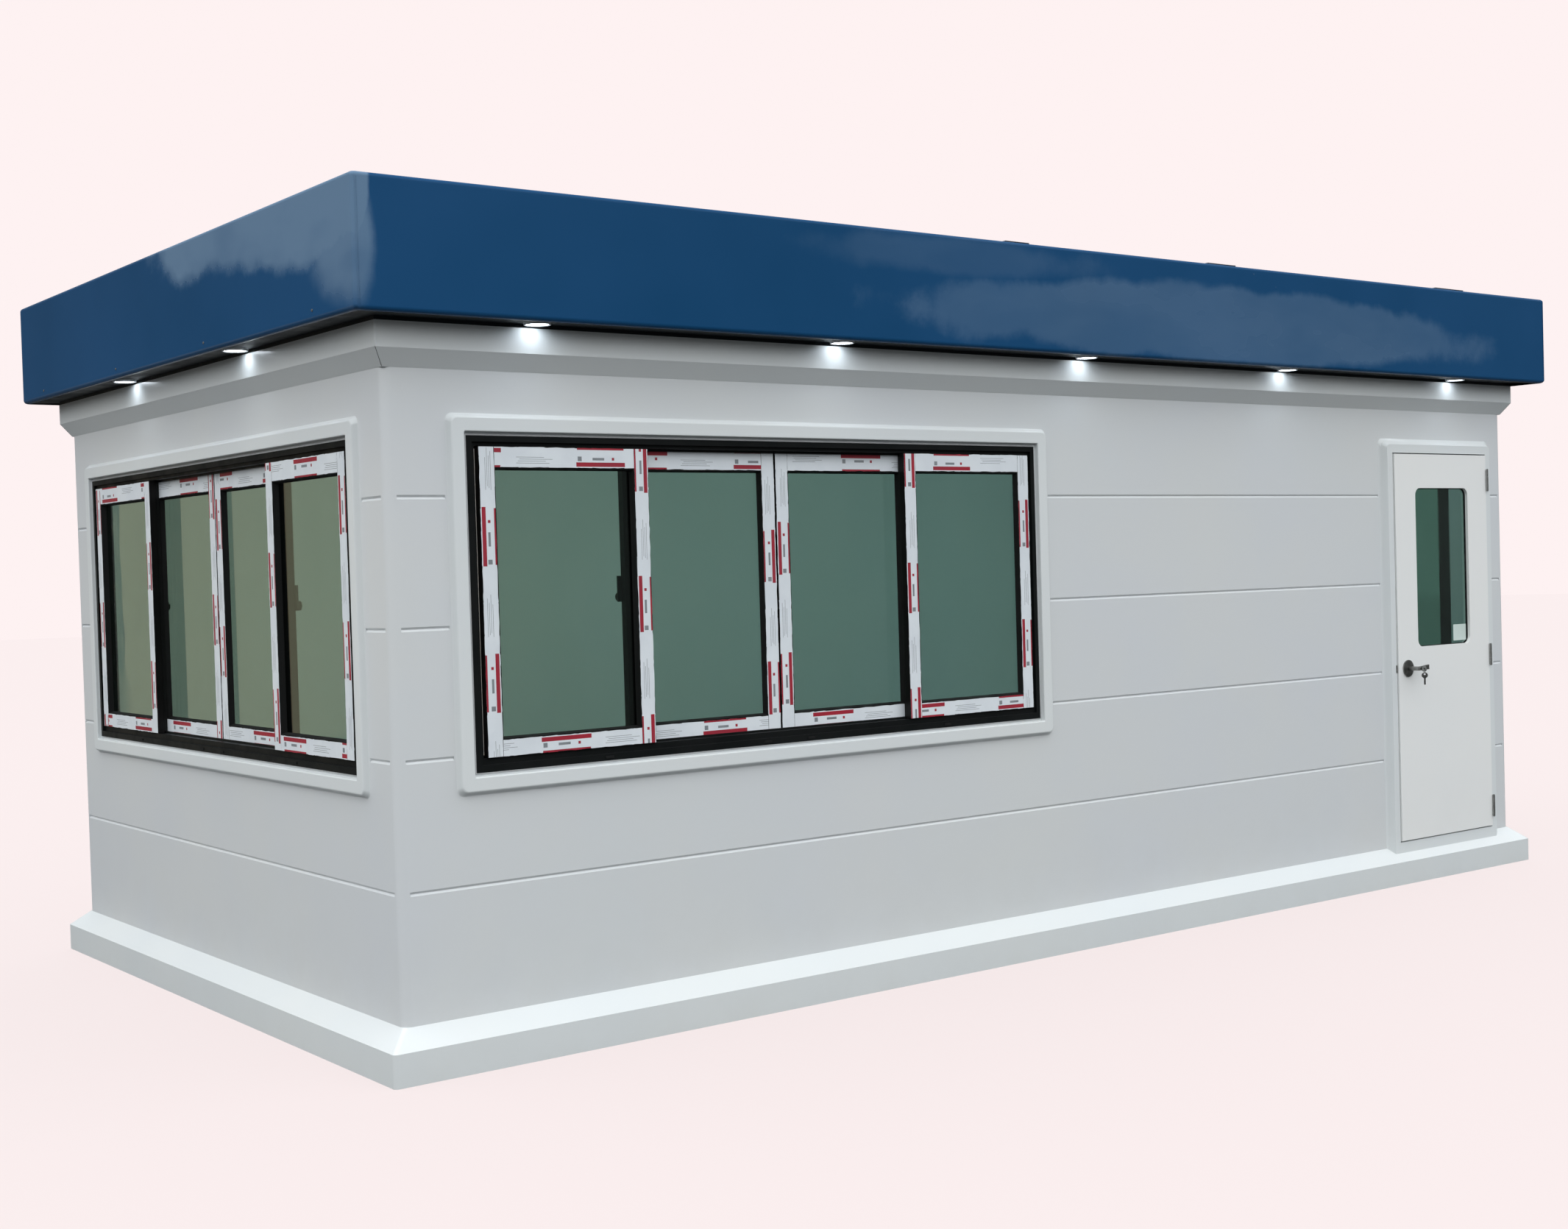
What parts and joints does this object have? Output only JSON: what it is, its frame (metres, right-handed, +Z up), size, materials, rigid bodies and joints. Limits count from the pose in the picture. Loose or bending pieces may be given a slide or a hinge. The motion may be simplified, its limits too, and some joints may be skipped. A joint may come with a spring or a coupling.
{
  "type": "security guard booth",
  "caption": "Moulded white cabin with panelled walls, sliding windows on the front and both ends, a glazed side-hung door, a cornice and a deep blue box roof with soffit downlights.",
  "frame": {"origin": "plan centre of the roof box and the walls, on the ground", "axes": "+X along the long front to the right seen from outside, the front wall with the door faces -Y, +Z up"},
  "size_m": [6.416, 3.366, 2.811],
  "materials": {
    "wall_gelcoat": "moulded fibre-reinforced plastic, light grey gelcoat",
    "moulding_gelcoat": "moulded fibre-reinforced plastic, pale gelcoat",
    "frame_steel": "primed steel",
    "deck_board": "plywood board",
    "floor_vinyl": "sheet vinyl",
    "ceiling_white": "matt white panel",
    "soffit_black": "dark matt board",
    "roof_blue": "moulded fibre-reinforced plastic, glossy dark blue gelcoat",
    "roof_strip": "dark sealing strip",
    "light_rim": "white enamelled rim",
    "light_lens": "opal diffuser",
    "window_black": "black powder-coated aluminium",
    "tinted_glass": "green tinted float glass",
    "door_white": "white gelcoat door skin",
    "hinge_steel": "satin stainless steel",
    "lock_steel": "satin nickel"
  },
  "bodies": {
    "booth": {"base_skirt": "moulding_gelcoat", "floor_joists": "frame_steel", "floor_deck": "deck_board", "floor_cover": "floor_vinyl", "wall_front": "wall_gelcoat", "wall_front_right": "wall_gelcoat", "wall_front_header": "wall_gelcoat", "wall_left": "wall_gelcoat", "wall_right": "wall_gelcoat", "wall_back": "wall_gelcoat", "cornice": "moulding_gelcoat", "soffit_strip": "soffit_black", "ceiling_panel": "ceiling_white", "roof_deck": "soffit_black", "roof_ribs": "frame_steel", "roof_shell": "roof_blue", "roof_pads": "roof_strip", "downlight_rims": "light_rim", "downlight_lenses": "light_lens", "window_surrounds": "moulding_gelcoat", "window_front_frame": "window_black", "window_front_outer_sashes": "window_black", "window_front_inner_sashes": "window_black", "window_front_glass": "tinted_glass", "window_left_frame": "window_black", "window_left_outer_sashes": "window_black", "window_left_inner_sashes": "window_black", "window_left_glass": "tinted_glass", "window_right_frame": "window_black", "window_right_outer_sashes": "window_black", "window_right_inner_sashes": "window_black", "window_right_glass": "tinted_glass", "window_latches": "window_black", "door_surround": "moulding_gelcoat", "door_lining": "moulding_gelcoat", "strike_plate": "lock_steel", "hinge_fixed": "hinge_steel", "hinge_pins": "hinge_steel"},
    "door": {"door_leaf": "door_white", "door_glass": "tinted_glass", "hinge_moving": "hinge_steel", "lock_roses": "lock_steel"},
    "lever": {"lever_set": "lock_steel", "lock_keys": "lock_steel"}
  },
  "joints": [
    {"name": "door_hinge", "type": "hinge", "parent": "booth", "child": "door", "pos_m": [2.861, -1.569, 1.048], "axis": [0, 0, 1], "range_deg": [0, 105]},
    {"name": "lever_turn", "type": "hinge", "parent": "door", "child": "lever", "pos_m": [2.183, -1.563, 1.014], "axis": [0, 1, 0], "range_deg": [0, 45], "stiffness_Nm_per_rad": 2, "springref_deg": -20.05}
  ]
}
